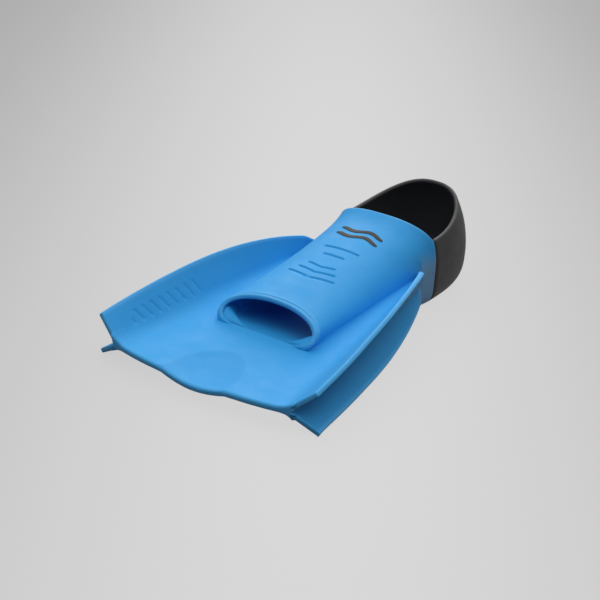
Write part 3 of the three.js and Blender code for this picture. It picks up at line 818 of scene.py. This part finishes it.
# %% Place the lining and the waves
lining = lining_skin()
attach(lining, "foot_pocket")
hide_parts("lap_flange")
for name, sign in (("front", -1), ("rear", 1)):
    wave = wave_skin(f"wave_inlay_{name}", sign)
    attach(wave, "foot_pocket")
    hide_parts(f"wave_mark_{name}")

# %% [markdown]
# ## Stage, light and camera
#
# A pale sweep runs from the floor up into the wall behind, so that no horizon shows. It glows faintly by
# itself, brightest round the fin, as paper lit from behind does, and throws no light on the rubber. The
# fin is lit by a room that is bright overhead and dark at the horizon, and by one soft panel behind it on
# the left. That leaves satin rubber its broad highlight and keeps the channel between the rails dark.

# %% Shape of the sweep
AZIMUTH = np.radians(32.4)                 # the camera stands this far to the right of the fin's tip


def sweep_points():
    """Points in metres of a plane that bends up behind the fin along a quarter circle of 2.5 m. It
    faces the mirror image of the camera's heading, so that its bend crosses the view at a slant."""
    turn = np.linspace(0, 0.5, 40) * np.pi
    along = np.concatenate([np.linspace(-6, 2.5, 20), 2.5 + 2.5 * np.sin(turn[1:]), np.full(10, 5.0)])
    up = np.concatenate([np.zeros(20), 2.5 * (1 - np.cos(turn[1:])), np.linspace(2.6, 6, 10)])
    along, up, side = along[:, None], up[:, None], np.linspace(-8, 8, 9)[None, :]
    x = side * np.cos(AZIMUTH) + along * np.sin(AZIMUTH)
    y = along * np.cos(AZIMUTH) - side * np.sin(AZIMUTH)
    return np.stack([x, y, up + 0 * side - 0.0006], -1)


# %% Paper of the sweep


def studio_paper():
    """Matt paper whose glow falls off smoothly from an oval round the fin."""
    material, tree, shader = new_material(
        "lit_studio_paper", Roughness=0.95, Emission_Strength=1.0, Base_Color=linear("#3c3c3c"),
        Specular_IOR_Level=0.0,
    )
    place = add(tree, "ShaderNodeTexCoord").outputs["Object"]
    oval = add(
        tree, "ShaderNodeMapping",
        {"vector_type": "TEXTURE", "Rotation": (0, 0, AZIMUTH), "Scale": (0.45, 3.0, 9.0)}, Vector=place,
    )
    away = add(tree, "ShaderNodeVectorMath", {"operation": "LENGTH"}, i0=oval.outputs[0])
    glow = add(
        tree, "ShaderNodeMapRange", {"interpolation_type": "SMOOTHSTEP", 1: 0.0, 2: 1.3, 3: 0.64, 4: 0.36},
        Value=away.outputs["Value"],
    ).outputs[0]
    grey = add(tree, "ShaderNodeCombineColor", i0=glow, i1=glow, i2=glow)
    tree.links.new(grey.outputs[0], shader.inputs["Emission Color"])
    fibre = add(tree, "ShaderNodeTexNoise", {"Scale": 900.0, "Detail": 2.0}, Vector=place)
    bump = add(tree, "ShaderNodeBump", {"Strength": 0.05, "Distance": 0.0001}, Height=fibre.outputs[0])
    tree.links.new(bump.outputs[0], shader.inputs["Normal"])
    return material


# %% Set up the sweep
points = sweep_points()
floor_mesh = bpy.data.meshes.new("studio_sweep")
floor_mesh.from_pydata(points.reshape(-1, 3).tolist(), [], grid_faces(*points.shape[:2]).tolist())
floor_mesh.materials.append(studio_paper())
floor = bpy.data.objects.new("studio_sweep", floor_mesh)
bpy.context.scene.collection.objects.link(floor)
floor.visible_diffuse = False
print("studio sweep", len(floor_mesh.polygons), "faces")

# %% Room light
world = bpy.data.worlds.new("grey_room")
bpy.context.scene.world = world
world.use_nodes = True
room = world.node_tree
upward = add(room, "ShaderNodeSeparateXYZ", Vector=add(room, "ShaderNodeTexCoord").outputs["Generated"])
sky = add(room, "ShaderNodeMapRange", {1: 0.42, 2: 0.95, 3: 0.04, 4: 1.68}, Value=upward.outputs["Z"])
room.links.new(sky.outputs[0], room.nodes["Background"].inputs["Strength"])
room.nodes["Background"].inputs["Color"].default_value = (1, 1, 1, 1)

# %% Soft panel
panel_light = bpy.data.lights.new("rear_panel", "AREA")
panel_light.shape, panel_light.size, panel_light.energy = "SQUARE", 1.5, 30
panel = bpy.data.objects.new("rear_panel", panel_light)
panel.location = (-0.95, 1.8, 1.25)
panel.rotation_euler = (-panel.location).to_track_quat("-Z", "Y").to_euler()
bpy.context.scene.collection.objects.link(panel)
bpy.context.scene.view_settings.view_transform = "Standard"
print("lights", [light.name for light in bpy.data.lights])

# %% Camera
ELEVATION, ROLL, DISTANCE = np.radians(23.9), np.radians(4.2), 1.145
LOOKS_AT = Vector((-0.0138, -0.0221, 0.0234))
back = np.array([
    np.sin(AZIMUTH) * np.cos(ELEVATION), -np.cos(AZIMUTH) * np.cos(ELEVATION), np.sin(ELEVATION),
])
level = unit(np.cross([0, 0, 1], back))
upright = np.cross(back, level)
right = level * np.cos(ROLL) + upright * np.sin(ROLL)
above = upright * np.cos(ROLL) - level * np.sin(ROLL)
camera_data = bpy.data.cameras.new("studio_camera")
camera_data.lens, camera_data.sensor_width = 84.0, 36.0
camera = bpy.data.objects.new("studio_camera", camera_data)
facing = Matrix((right, above, back)).transposed().to_4x4()
camera.matrix_world = Matrix.Translation(LOOKS_AT + Vector(back) * DISTANCE) @ facing
bpy.context.scene.collection.objects.link(camera)
bpy.context.scene.camera = camera
print("camera at", [round(c, 3) for c in camera.matrix_world.translation])
